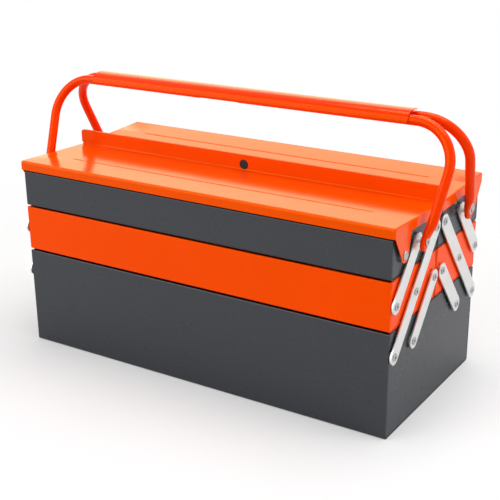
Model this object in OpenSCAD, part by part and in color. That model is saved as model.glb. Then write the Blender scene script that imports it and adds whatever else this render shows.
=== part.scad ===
// Cantilever tool box: a deep base with two tiers of sliding trays, front and back, that
// swing out on flat riveted arms, two hinged lids on the upper trays and two bowed tube handles.
// Origin: centre of the face that the box stands on. X runs along the box, Y from front to back.

/* [Box] */
// Length of the box over its end panels
body_length = 450; // [360:5:560]
// Depth of the closed box, from front wall to back wall
body_depth = 208; // [200:2:230]
// Height of the deep base
base_height = 112; // [90:1:150]
// Height of each sliding tray
tray_height = 50.5; // [46:0.5:70]
// Air gap between a tray and the one under it
tier_gap = 1.5; // [1.2:0.1:2.5]
// Air gap between the front trays and the back trays
centre_gap = 2; // [1.5:0.5:4]

/* [Sheet metal] */
// Thickness of the folded sheet
sheet = 0.8; // [0.7:0.1:1.2]
// Outside radius of the long folds under each tray
fold_radius = 2.5; // [2:0.5:4]
// Depth of the hem that is folded in along each rim
hem_depth = 6; // [4:0.5:9]
// Centre-line radius of a hem's fold
hem_radius = 0.8; // [0.7:0.1:1.1]
// Width of the tabs that join an end panel to its tray
tab_width = 9; // [6:1:14]
// Gap between the end of a tab and the hem over it
tab_gap = 0.4; // [0.3:0.1:1]

/* [Arms] */
// Width of the flat arms
arm_width = 16; // [12:0.5:17]
// Thickness of the flat arms
arm_sheet = 1.6; // [1.2:0.1:2.5]
// Gap between the innermost ends of the front arms and the back arms
arm_gap = 4; // [1:0.5:8]
// Distance from the front wall of the box to the outer pivots
pivot_inset = 7; // [7:0.5:9]
// Distance from the top of a tier down to its pivots
pivot_drop = 25; // [23:0.5:30]

/* [Rivets] */
// Diameter of a rivet's shank
rivet_d = 5; // [4:0.5:6]
// Diameter of a rivet's head
head_d = 8; // [7.5:0.5:10]
// Height of a rivet's head
head_height = 1.2; // [0.8:0.1:1.4]
// Diameter of the hollow end of a rivet
hollow_d = 2.8; // [2:0.2:3]
// Diameter of the washers behind the arms
washer_d = 11; // [9.5:0.5:12]
// Thickness of the washers behind the arms
washer_height = 1.6; // [1.5:0.1:2.5]
// Running fit between a rivet and its hole, on the radius
pivot_fit = 0.05; // [0.03:0.01:0.08]
// Running fit of the two pivots that close the linkage, on the radius
loop_fit = 0.15; // [0.1:0.05:0.25]
// End play on each side of an arm
end_play = 0.15; // [0.1:0.05:0.3]

/* [Lids] */
// Distance that a lid hangs over the front or back wall
lid_overhang = 2; // [1.8:0.2:3]
// Depth of a lid's folded edges
lip_depth = 10; // [8:0.5:11]
// Gap between a lid and the rim that it lies on
lid_gap = 0.4; // [0.3:0.1:0.8]
// Gap between a lid and the outer wall's rim as the lid swings past it
swing_gap = 0.5; // [0.3:0.1:1]
// Gap between a lid's ends and the handle that swings past them
end_clearance = 0.35; // [0.3:0.05:0.8]
// Fall of the lid from its outer edge to the middle of the box
lid_fall = 4; // [2:0.5:6]
// Height of the flange along a lid's inner edge
flange_height = 17; // [15:0.5:22]
// Radius of the flange's top corners
flange_corner = 3; // [2:0.5:5]
// Gap between the two flanges
flange_gap = 1; // [0.8:0.1:2]
// Diameter of the padlock hole in both flanges
padlock_hole = 11; // [8:0.5:12]
// Distance of the swage line from the lid's outer edge
swage_inset = 40; // [30:1:50]
// Width of the swage line
swage_width = 3; // [2:0.5:5]
// Depth of the swage line
swage_depth = 0.9; // [0.5:0.1:1.5]
// Distance of a lid's pivot from the box's outer wall
ear_inset = 22; // [20:0.5:24]
// Distance of a lid's pivot under the top of its tray's tier
ear_drop = 31; // [28:0.5:33]
// Radius of the ear's rounded tip
ear_radius = 7.5; // [6:0.5:8]
// Width of the ear where it leaves the lid
ear_width = 34; // [24:1:36]
// Diameter of the domed head of a lid's pivot
dome_d = 9; // [8:0.5:10]

/* [Handles] */
// Outside diameter of the handle tube
tube_d = 10; // [9:0.5:12]
// Wall of the handle tube
tube_wall = 1.2; // [1:0.1:1.5]
// Height of the handle bars above the lids' outer edges
bar_rise = 76; // [66:1:95]
// Distance of each closed handle bar from the middle of the box
bar_offset = 9; // [7.5:0.5:10]
// Angle at which the legs lean outwards
leg_splay = 6; // [3:0.5:8]
// Centre-line radius of the handle bends
bend_radius = 42; // [30:1:48]
// Gap between a leg and the rivet heads that it passes
leg_gap = 1.6; // [1:0.1:3]
// Thickness of a leg's pressed end
press_thick = 4.5; // [3.5:0.5:6]
// Width of a leg's pressed end
press_width = 12.5; // [11:0.5:14]
// Length of a leg's pressed end above its pivot
press_rise = 10; // [8.5:0.5:14]
// Length over which the tube goes over to its pressed end
press_blend = 14; // [10:1:20]

/* [Grip] */
// Thickness of the grip's sheet
grip_sheet = 1.1; // [0.8:0.1:1.5]
// Room between the tubes and the grip's crown
grip_headroom = 2.9; // [2:0.1:5]
// Distance that the grip's front edge hangs under the bar's middle
grip_skirt = 3; // [1:0.5:4]
// Distance from the grip's middle line to the middle of the box
grip_shift = 1; // [0.5:0.5:2]
// Distance from the end of the grip to the handle's bend
grip_setback = 7; // [2:1:30]
// Weld gap between the grip and its tube
grip_seat = 0.15; // [0.1:0.05:0.3]

/* [Hidden] */
$fn = 48;

ORANGE = "#f4580c";
GREY = "#4b5056";
ZINC = "#d9dadb";

// Room that a cut takes past the surface that it goes through
CUT = 1;
// Step between the points of a folded corner, in degrees
FOLD_STEP = 15;
// Steps along the grip's arch
GRIP_STEPS = 20;
// Power of the grip's arch: 2 is an ellipse, more is squarer
GRIP_POWER = 2.5;
// How much wider the top of a leg's taper is than the tube
PRESS_COLLAR = 1;
// Side of the taper's hollow, as a share of the square that just fits in the tube's bore
PRESS_NECK = 0.95;
// How far a seam ring reaches to each side of its seam
SEAM_REACH = 0.8;

half_length = body_length / 2;
half_depth = body_depth / 2;
tray_depth = half_depth - centre_gap / 2;
tier_pitch = tray_height + tier_gap;

// Floor and top of each tier: 0 is the base, 1 the middle trays, 2 the upper trays
function floor_z(tier) = tier == 0 ? 0 : base_height + tier_gap + (tier - 1) * tier_pitch;
function rim_z(tier) = base_height + tier * tier_pitch;
function pivot_z(tier) = rim_z(tier) - pivot_drop;
upper_top = rim_z(2);

// Front pivots, [Y, Z]. Every arm leans by one step for each tier, so the trays stay level
arm_step = (half_depth - pivot_inset - (arm_width + arm_gap) / 2) / 2;
function pivot_y(step) = -(half_depth - pivot_inset) + step * arm_step;
function pivot(step, tier) = [pivot_y(step), pivot_z(tier)];
lid_pivot = [-(half_depth - ear_inset), upper_top - ear_drop];

// What lies on the end panel, from the panel outwards
arm_face = half_length + washer_height + end_play;
arm_back = arm_face + arm_sheet;
head_face = arm_back + end_play;
lid_end = arm_back - end_clearance;
ear_face = lid_end - sheet;
leg_x = head_face + head_height + leg_gap + tube_d / 2;
press_back = arm_back + press_thick;
inner_head = head_height;

rivet_hole = rivet_d + 2 * pivot_fit;
loop_hole = rivet_d + 2 * loop_fit;

// The lid's middle surface falls towards the middle of the box
lid_slope = lid_fall / tray_depth;
lid_angle = atan(lid_slope);
function lid_z(y) = upper_top + lid_gap + sheet / 2 - lid_slope * (y + half_depth);
lid_front = -(half_depth + lid_overhang) + sheet / 2;
lid_inner = -(flange_gap + sheet) / 2;
flange_foot = lid_z(lid_inner) + sheet / 2;
flange_top = flange_foot + flange_height;
padlock_z = flange_foot + padlock_hole / 2 + sheet;

// An upper tray's outer rim is low enough for the lid to turn past it, and its inner rim
// carries the lid
lid_reach = (lid_z(lid_pivot[0]) - sheet / 2 - lid_pivot[1]) * cos(lid_angle);
outer_rim = lid_pivot[1] + sqrt(pow(lid_reach - swing_gap, 2) - pow(ear_inset, 2));
inner_rim = upper_top - lid_fall;

// The handle lies in a plane that leans from its pivot to its bar
bar_z = lid_z(lid_front) + sheet / 2 + bar_rise;
handle_pivot = pivot(1, 2);
handle_lean = atan2(-bar_offset - handle_pivot[0], bar_z - handle_pivot[1]);
bar_height = (bar_z - handle_pivot[1]) / cos(handle_lean);
bend_turn = 90 + leg_splay;
bend_tangent = bend_radius * tan(bend_turn / 2);
leg_length = bar_height / cos(leg_splay) - bend_tangent;
bar_half = leg_x + bar_height * tan(leg_splay) - bend_tangent;
press_top = press_rise + press_blend;

// The grip is an arch over both bars, welded to the front one
grip_half = bar_half - grip_setback;
grip_foot = bar_z - grip_skirt;
grip_inner_height = tube_d / 2 + grip_headroom + grip_skirt;
grip_room = tube_d / 2 + grip_seat;
// Half width that clears the bar all round, under an arch a little squarer than an ellipse
grip_inner_width = max([
    for (a = [90 : 5 : 180])
        (bar_offset - grip_shift - grip_room * cos(a))
        / pow(1 - pow((grip_skirt + grip_room * sin(a)) / grip_inner_height, GRIP_POWER), 1 / GRIP_POWER)
]);
grip_middle_width = grip_inner_width + grip_sheet / 2;
grip_middle_height = grip_inner_height + grip_sheet / 2;
grip_reach = bar_offset - 2;
grip_last = acos(pow((grip_reach + grip_shift) / grip_middle_width, GRIP_POWER / 2));

// ---- Folded sheet: a ribbon of even thickness along the middle line of a fold

function along(p, q) = (q - p) / norm(q - p);
function left_of(v) = [-v[1], v[0]];
function arc(centre, radius, from, to) = [
    for (i = [0 : round(abs(to - from) / FOLD_STEP)])
        let (a = from + (to - from) * i / round(abs(to - from) / FOLD_STEP))
        centre + radius * [cos(a), sin(a)]
];
function ribbon_normal(line, i) =
    let (
        a = left_of(along(line[max(i - 1, 0)], line[max(i, 1)])),
        b = left_of(along(line[min(i, len(line) - 2)], line[min(i + 1, len(line) - 1)])),
        n = (a + b) / norm(a + b)
    ) n / (n * a);
function ribbon(line, thickness) = concat(
    [for (i = [0 : len(line) - 1]) line[i] + ribbon_normal(line, i) * thickness / 2],
    [for (i = [len(line) - 1 : -1 : 0]) line[i] - ribbon_normal(line, i) * thickness / 2]
);

// A shape drawn in Y and Z, pulled along X from one place to another
module along_x(from, to) {
    translate([from, 0, 0])
        rotate([90, 0, 90])
        linear_extrude(height = to - from)
        children();
}

module both_ends() {
    children();
    mirror([1, 0, 0]) children();
}

module to_back() {
    mirror([0, 1, 0]) children();
}

// A round pin along X
module pin(place, from, to, diameter) {
    translate([from, place[0], place[1]])
        rotate([0, 90, 0])
        cylinder(h = to - from, d = diameter);
}

// ---- Trays: a wrap of one folded sheet and two end panels

// Middle line of a wrap: hem, outer wall, floor, inner wall, hem
function wrap_line(y0, y1, floor, rim0, rim1) =
    let (
        r = fold_radius - sheet / 2,
        h = hem_radius,
        m = sheet / 2,
        top0 = rim0 - m - h,
        top1 = rim1 - m - h
    ) concat(
        [[y0 + m + 2 * h, rim0 - hem_depth]],
        arc([y0 + m + h, top0], h, 0, 180),
        arc([y0 + m + r, floor + m + r], r, 180, 270),
        arc([y1 - m - r, floor + m + r], r, 270, 360),
        arc([y1 - m - h, top1], h, 0, 180),
        [[y1 - m - 2 * h, rim1 - hem_depth]]
    );

module wrap(y0, y1, floor, rim0, rim1) {
    along_x(-half_length, half_length)
        polygon(ribbon(wrap_line(y0, y1, floor, rim0, rim1), sheet));
}

// Outline of an end panel that fits inside the wrap, inset evenly, with a sloping top
module panel_outline(y0, y1, floor, rim0, rim1, inset) {
    r = max(fold_radius - inset, sheet / 4);
    low = floor + inset;
    left = y0 + inset;
    right = y1 - inset;
    intersection() {
        union() {
            translate([left, low + r]) square([right - left, max(rim0, rim1) - low]);
            translate([left + r, low]) square([right - left - 2 * r, r + CUT]);
            for (y = [left + r, right - r])
                translate([y, low + r]) circle(r);
        }
        polygon([[left, floor - CUT], [right, floor - CUT], [right, rim1], [left, rim0]]);
    }
}

// The right end panel of a tray: plate, three tabs and a hemmed rim
module right_panel(y0, y1, floor, rim0, rim1, places) {
    run = y1 - y0;
    angle = atan((rim1 - rim0) / run);
    hem_wide = sheet + 2 * hem_radius;
    tab_top = hem_depth + tab_gap;
    hem_line = concat(
        [[half_length - sheet / 2, -hem_depth]],
        arc([half_length - sheet / 2 - hem_radius, -sheet / 2 - hem_radius], hem_radius, 0, 180),
        [[half_length - sheet / 2 - 2 * hem_radius, -hem_depth]]
    );
    difference() {
        union() {
            difference() {
                along_x(half_length - tab_width, half_length)
                    panel_outline(y0, y1, floor, rim0 - tab_top, rim1 - tab_top, sheet);
                along_x(half_length - tab_width - CUT, half_length - sheet)
                    panel_outline(y0, y1, floor, rim0, rim1, 2 * sheet);
            }
            // Plate between the ends of the wrap's hems
            along_x(half_length - sheet, half_length)
                polygon([
                    [y0 + hem_wide + tab_gap, rim0 - tab_top - CUT],
                    [y1 - hem_wide - tab_gap, rim1 - tab_top - CUT],
                    [y1 - hem_wide - tab_gap, rim1 - hem_depth + tab_gap],
                    [y0 + hem_wide + tab_gap, rim0 - hem_depth + tab_gap]
                ]);
            // Hemmed rim, along the slope of the top
            translate([0, y0 + hem_wide + tab_gap, rim0])
                rotate([angle, 0, 0])
                rotate([90, 0, 180])
                linear_extrude(height = (run - 2 * (hem_wide + tab_gap)) / cos(angle))
                mirror([1, 0])
                polygon(ribbon(hem_line, sheet));
        }
        for (p = places)
            pin(p, half_length - sheet - CUT, half_length + CUT, rivet_hole);
    }
}

module panel(side, y0, y1, floor, rim0, rim1, places) {
    mirror([side == "left" ? 1 : 0, 0, 0]) right_panel(y0, y1, floor, rim0, rim1, places);
}

// Pivots that sit in each tray's end panels
base_front_places = [pivot(0, 0), pivot(1, 0)];
base_places = concat(base_front_places, [for (p = base_front_places) [-p[0], p[1]]]);
middle_places = [pivot(0, 1), pivot(1, 1), pivot(2, 1)];
upper_places = [pivot(1, 2), pivot(2, 2)];
upper_holes = concat(upper_places, [lid_pivot]);

module base_wrap() {
    color(GREY) wrap(-half_depth, half_depth, floor_z(0), rim_z(0), rim_z(0));
}

module base_end(side) {
    color(GREY) panel(side, -half_depth, half_depth, floor_z(0), rim_z(0), rim_z(0), base_places);
}

module middle_wrap() {
    color(ORANGE) wrap(-half_depth, -centre_gap / 2, floor_z(1), rim_z(1), rim_z(1));
}

module middle_end(side) {
    color(ORANGE)
        panel(side, -half_depth, -centre_gap / 2, floor_z(1), rim_z(1), rim_z(1), middle_places);
}

module upper_wrap() {
    color(GREY)
        wrap(-half_depth, -centre_gap / 2, floor_z(2), outer_rim, inner_rim);
}

module upper_end(side) {
    color(GREY)
        panel(side, -half_depth, -centre_gap / 2, floor_z(2), outer_rim, inner_rim, upper_holes);
}

// ---- Rivets and washers

// A rivet with a flat hollow head, from inside the panel to past what it carries
module rivet(place, face) {
    inside = half_length - sheet;
    difference() {
        union() {
            pin(place, inside - inner_head, face + head_height / 2, rivet_d);
            pin(place, inside - inner_head, inside, head_d);
            pin(place, face, face + head_height / 2, head_d);
            translate([face + head_height / 2, place[0], place[1]])
                rotate([0, 90, 0])
                cylinder(h = head_height / 2, d1 = head_d, d2 = head_d - head_height);
        }
        pin(place, face - head_height, face + head_height + CUT, hollow_d);
    }
}

// A pin with a domed head, for a lid
module domed_pin(place, face) {
    inside = half_length - sheet;
    rise = head_height * 1.6;
    ball = (pow(dome_d / 2, 2) + pow(rise, 2)) / (2 * rise);
    pin(place, inside - inner_head, face + end_play, rivet_d);
    pin(place, inside - inner_head, inside, head_d);
    translate([face, place[0], place[1]])
        rotate([0, 90, 0])
        rotate_extrude()
        intersection() {
            translate([0, rise - ball]) circle(ball);
            square([dome_d / 2, rise]);
        }
}

module washer(place, height, hole) {
    difference() {
        pin(place, half_length, half_length + height, washer_d);
        pin(place, half_length - CUT, half_length + height + CUT, hole);
    }
}

module rivet_set(places) {
    color(ZINC) both_ends() for (p = places) rivet(p, head_face);
}

module washer_set(places) {
    color(ZINC) both_ends() for (p = places) washer(p, washer_height, rivet_hole);
}

// The upper tray's rivets: one through the handle's pressed end, one through the long arm only
module upper_rivet_set() {
    color(ZINC) both_ends() {
        rivet(upper_places[0], press_back + end_play);
        rivet(upper_places[1], head_face);
    }
}

module lid_pin_set() {
    color(ZINC) both_ends() domed_pin(lid_pivot, lid_end + end_play);
}

module lid_washer_set() {
    color(ZINC) both_ends() washer(lid_pivot, ear_face - end_play - half_length, rivet_hole);
}

// ---- Arms: flat bars with round ends, drilled at every pivot

module arm(side, from, to, holes) {
    reach = norm(to - from);
    angle = atan2(to[1] - from[1], to[0] - from[0]);
    color(ZINC)
        mirror([side == "left" ? 1 : 0, 0, 0])
        difference() {
            along_x(arm_face, arm_back)
                translate(from)
                rotate(angle) {
                    translate([0, -arm_width / 2]) square([reach, arm_width]);
                    circle(d = arm_width);
                    translate([reach, 0]) circle(d = arm_width);
                }
            for (h = holes)
                pin(h[0], arm_face - CUT, arm_back + CUT, h[1]);
        }
}

// From the base past the middle tray to the upper tray
module long_arm(side) {
    arm(side, pivot(0, 0), pivot(2, 2), [for (i = [0 : 2]) [pivot(i, i), rivet_hole]]);
}

// From the base to the middle tray; its upper pivot closes the linkage
module short_arm(side) {
    arm(side, pivot(1, 0), pivot(2, 1), [[pivot(1, 0), rivet_hole], [pivot(2, 1), loop_hole]]);
}

// From the middle tray to the upper tray; its upper pivot closes the linkage
module handle_arm(side) {
    arm(side, pivot(0, 1), pivot(1, 2), [[pivot(0, 1), rivet_hole], [pivot(1, 2), loop_hole]]);
}

// ---- Handles

// The handle's own plane: X across, Y up from the pivots. A leg's frame has Y along the leg
module at_leg() {
    translate([leg_x, 0, 0]) rotate([0, 0, -leg_splay]) children();
}

module tube_ring() {
    difference() {
        circle(d = tube_d);
        circle(d = tube_d - 2 * tube_wall);
    }
}

module straight_tube(length) {
    rotate([-90, 0, 0]) linear_extrude(height = length) tube_ring();
}

// A ring inside the tube's wall, which holds the two lengths that meet at a seam together
module seam_ring() {
    rotate([-90, 0, 0])
        translate([0, 0, -SEAM_REACH])
        linear_extrude(height = 2 * SEAM_REACH)
        difference() {
            circle(d = tube_d - tube_wall / 2);
            circle(d = tube_d - 3 * tube_wall / 2);
        }
}

// Leg, bend and half of the bar, each in the frame of the one before
module half_handle() {
    at_leg() {
        translate([0, press_top, 0]) {
            straight_tube(leg_length - press_top);
            seam_ring();
        }
        translate([0, leg_length, 0]) seam_ring();
        translate([-bend_radius, leg_length, 0]) {
            rotate_extrude(angle = bend_turn) translate([bend_radius, 0]) tube_ring();
            rotate([0, 0, bend_turn])
                translate([bend_radius, 0, 0]) {
                    straight_tube(bar_half);
                    seam_ring();
                }
        }
    }
}

// A place in a leg's frame, in the handle's plane
function at_leg_point(x, y) = [
    leg_x + x * cos(leg_splay) + y * sin(leg_splay),
    y * cos(leg_splay) - x * sin(leg_splay)
];

// The pressed end of a leg, flat against its arm, or with an inset the slot inside it
module pressed_end(inset) {
    thick = press_thick - 2 * inset;
    wide = press_width - 2 * inset;
    top = inset == 0 ? tube_d + PRESS_COLLAR : PRESS_NECK * (tube_d - 2 * inset) / sqrt(2);
    near = arm_back + inset;
    reach = inset == 0 ? 0 : press_width;
    translate([near, 0, 0])
        rotate([0, 90, 0])
        linear_extrude(height = thick) {
            if (inset == 0) circle(d = press_width);
            translate([-wide / 2, -reach]) square([wide, press_rise + reach]);
        }
    // Taper, cut from its side view and its front view
    intersection() {
        linear_extrude(height = 2 * press_width, center = true)
            polygon([
                [near, press_rise],
                [near + thick, press_rise],
                at_leg_point(top / 2, press_top),
                at_leg_point(-top / 2, press_top)
            ]);
        translate([near - CUT, 0, 0])
            rotate([0, 90, 0])
            linear_extrude(height = leg_x)
            polygon([
                [-wide / 2, press_rise],
                [wide / 2, press_rise],
                [top / 2, press_top - PRESS_COLLAR],
                [top / 2, press_top + tube_d],
                [-top / 2, press_top + tube_d],
                [-top / 2, press_top - PRESS_COLLAR]
            ]);
    }
}

module handle_tube() {
    color(ORANGE)
        difference() {
            translate([0, handle_pivot[0], handle_pivot[1]])
                rotate([90 - handle_lean, 0, 0]) {
                    both_ends() {
                        half_handle();
                        difference() {
                            pressed_end(0);
                            pressed_end(tube_wall);
                        }
                    }
                    translate([0, bar_height, 0]) rotate([0, 0, 90]) seam_ring();
                }
            both_ends() pin(handle_pivot, arm_back - CUT, press_back + CUT, loop_hole);
        }
}

// An arched sheet that wraps the front bar and hoods the back one
grip_line = [
    for (i = [0 : GRIP_STEPS])
        let (a = 180 + (grip_last - 180) * i / GRIP_STEPS)
        [
            grip_middle_width * sign(cos(a)) * pow(abs(cos(a)), 2 / GRIP_POWER) - grip_shift,
            grip_foot + grip_middle_height * pow(sin(a), 2 / GRIP_POWER)
        ]
];

module handle_grip() {
    color(ORANGE)
        along_x(-grip_half, grip_half)
        polygon(ribbon(grip_line, grip_sheet));
}

// ---- Lids

// Middle line of a lid: front lip, corner, swage line, flange
function lid_line() =
    let (
        m = sheet / 2,
        r = fold_radius - m,
        s = -(half_depth + lid_overhang) + swage_inset,
        w = swage_width / 2
    ) concat(
        [[lid_front, lid_z(lid_front) + m - lip_depth]],
        arc([lid_front + r, lid_z(lid_front) - r], r, 180, 90),
        [
            [s - w, lid_z(s - w)],
            [s, lid_z(s) - swage_depth],
            [s + w, lid_z(s + w)]
        ],
        arc([lid_inner - r, lid_z(lid_inner) + r], r, 270, 360),
        [[lid_inner, flange_top]]
    );

// A folded end of the lid, with the ear that carries its pivot
module lid_end_plate() {
    outer = lid_front - sheet / 2;
    inner = lid_inner + sheet / 2;
    ear_top = lid_z(lid_front) + sheet / 2 - lip_depth;
    ear_outer = outer + fold_radius;
    polygon([
        [outer + sheet, lid_z(outer) + sheet / 2 - lid_slope * sheet],
        [inner, lid_z(inner) + sheet / 2],
        [inner, lid_z(inner) + sheet / 2 - lip_depth],
        [outer + sheet, ear_top]
    ]);
    polygon([
        [ear_outer, ear_top + CUT],
        [ear_outer + ear_width, ear_top + CUT - lid_slope * ear_width],
        [lid_pivot[0] + ear_radius, lid_pivot[1]],
        [lid_pivot[0] - ear_radius, lid_pivot[1]]
    ]);
    translate(lid_pivot) circle(ear_radius);
}

// What rounds off a top corner of the flange
module flange_corner_cut() {
    translate([lid_end - flange_corner, 0, flange_top - flange_corner])
        difference() {
            translate([0, -half_depth, 0]) cube([flange_corner + CUT, half_depth, flange_corner + CUT]);
            translate([0, CUT, 0]) rotate([90, 0, 0]) cylinder(h = body_depth, r = flange_corner);
        }
}

module lid() {
    color(ORANGE)
        difference() {
            union() {
                along_x(-lid_end, lid_end) polygon(ribbon(lid_line(), sheet));
                both_ends() along_x(ear_face, lid_end) lid_end_plate();
            }
            both_ends() pin(lid_pivot, ear_face - CUT, lid_end + CUT, rivet_hole);
            both_ends() flange_corner_cut();
            translate([0, CUT, padlock_z])
                rotate([90, 0, 0])
                cylinder(h = 2 * (flange_gap + sheet) + CUT, d = padlock_hole);
        }
}

base_wrap();
base_end("left");  // base_left_end
base_end("right");  // base_right_end
rivet_set(base_places);  // base_rivets
washer_set(base_places);  // base_washers
middle_wrap();  // front_middle_wrap
middle_end("left");  // front_middle_left_end
middle_end("right");  // front_middle_right_end
rivet_set(middle_places);  // front_middle_rivets
washer_set(middle_places);  // front_middle_washers
to_back() middle_wrap();  // back_middle_wrap
to_back() middle_end("left");  // back_middle_left_end
to_back() middle_end("right");  // back_middle_right_end
to_back() rivet_set(middle_places);  // back_middle_rivets
to_back() washer_set(middle_places);  // back_middle_washers
upper_wrap();  // front_upper_wrap
upper_end("left");  // front_upper_left_end
upper_end("right");  // front_upper_right_end
upper_rivet_set();  // front_upper_rivets
washer_set(upper_places);  // front_upper_washers
lid_pin_set();  // front_lid_pins
lid_washer_set();  // front_lid_washers
to_back() upper_wrap();  // back_upper_wrap
to_back() upper_end("left");  // back_upper_left_end
to_back() upper_end("right");  // back_upper_right_end
to_back() upper_rivet_set();  // back_upper_rivets
to_back() washer_set(upper_places);  // back_upper_washers
to_back() lid_pin_set();  // back_lid_pins
to_back() lid_washer_set();  // back_lid_washers
long_arm("left");  // front_long_arm_left
long_arm("right");  // front_long_arm_right
to_back() long_arm("left");  // back_long_arm_left
to_back() long_arm("right");  // back_long_arm_right
short_arm("left");  // front_short_arm_left
short_arm("right");  // front_short_arm_right
to_back() short_arm("left");  // back_short_arm_left
to_back() short_arm("right");  // back_short_arm_right
handle_arm("left");  // front_handle_arm_left
handle_arm("right");  // front_handle_arm_right
to_back() handle_arm("left");  // back_handle_arm_left
to_back() handle_arm("right");  // back_handle_arm_right
handle_tube();  // front_handle_tube
to_back() handle_tube();  // back_handle_tube
handle_grip();
lid();  // front_lid
to_back() lid();  // back_lid
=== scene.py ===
"""Looks of a sheet-steel cantilever tool box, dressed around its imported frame.

The box stands closed on a white studio floor. Every sheet, arm, rivet, handle and grip is built
here as formed metal, in metres, in the frame's own axes: X along the box, Y from front to back.
"""

import logging
import math
from dataclasses import dataclass
from enum import Enum
from typing import Any, Iterable, Sequence

import bmesh
import bpy
from mathutils import Matrix, Vector
from mathutils.geometry import tessellate_polygon


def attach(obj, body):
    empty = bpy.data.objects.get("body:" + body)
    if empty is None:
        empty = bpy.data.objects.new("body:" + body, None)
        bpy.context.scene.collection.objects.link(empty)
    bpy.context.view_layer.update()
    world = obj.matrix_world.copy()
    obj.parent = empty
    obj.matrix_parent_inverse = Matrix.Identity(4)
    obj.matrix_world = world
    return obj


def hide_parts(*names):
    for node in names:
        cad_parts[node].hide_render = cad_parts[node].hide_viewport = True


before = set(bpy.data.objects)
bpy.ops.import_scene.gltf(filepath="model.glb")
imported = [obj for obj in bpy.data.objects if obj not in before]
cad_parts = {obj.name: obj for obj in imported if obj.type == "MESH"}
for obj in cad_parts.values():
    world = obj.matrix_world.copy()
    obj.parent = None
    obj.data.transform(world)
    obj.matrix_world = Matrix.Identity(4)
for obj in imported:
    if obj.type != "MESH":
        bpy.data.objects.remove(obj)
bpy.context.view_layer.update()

LOG = logging.getLogger("tool_box")
MM = 0.001

Colour = tuple[float, float, float]
Material = bpy.types.Material
Piece = bpy.types.Object
Place = tuple[float, float]
Line = list[Place]
# Points of a bent line: place and normal
Folded = list[tuple[float, float, float, float]]
# A ring of a tube: centre, direction across it, and its half sizes
Ring = tuple[float, float, float, float, float, float]


class Side(Enum):
    """One of the places that the box repeats."""

    @property
    def word(self) -> str:
        """Its name in node and body names."""
        return self.name.lower()


class Row(Side):
    """A row of trays, with the sign of its Y."""

    FRONT = -1
    BACK = 1


class Hand(Side):
    """An end of the box, with the sign of its X."""

    LEFT = -1
    RIGHT = 1


class Tier(Side):
    """A level of the box, counted from the base."""

    BASE = 0
    MIDDLE = 1
    UPPER = 2


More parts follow.
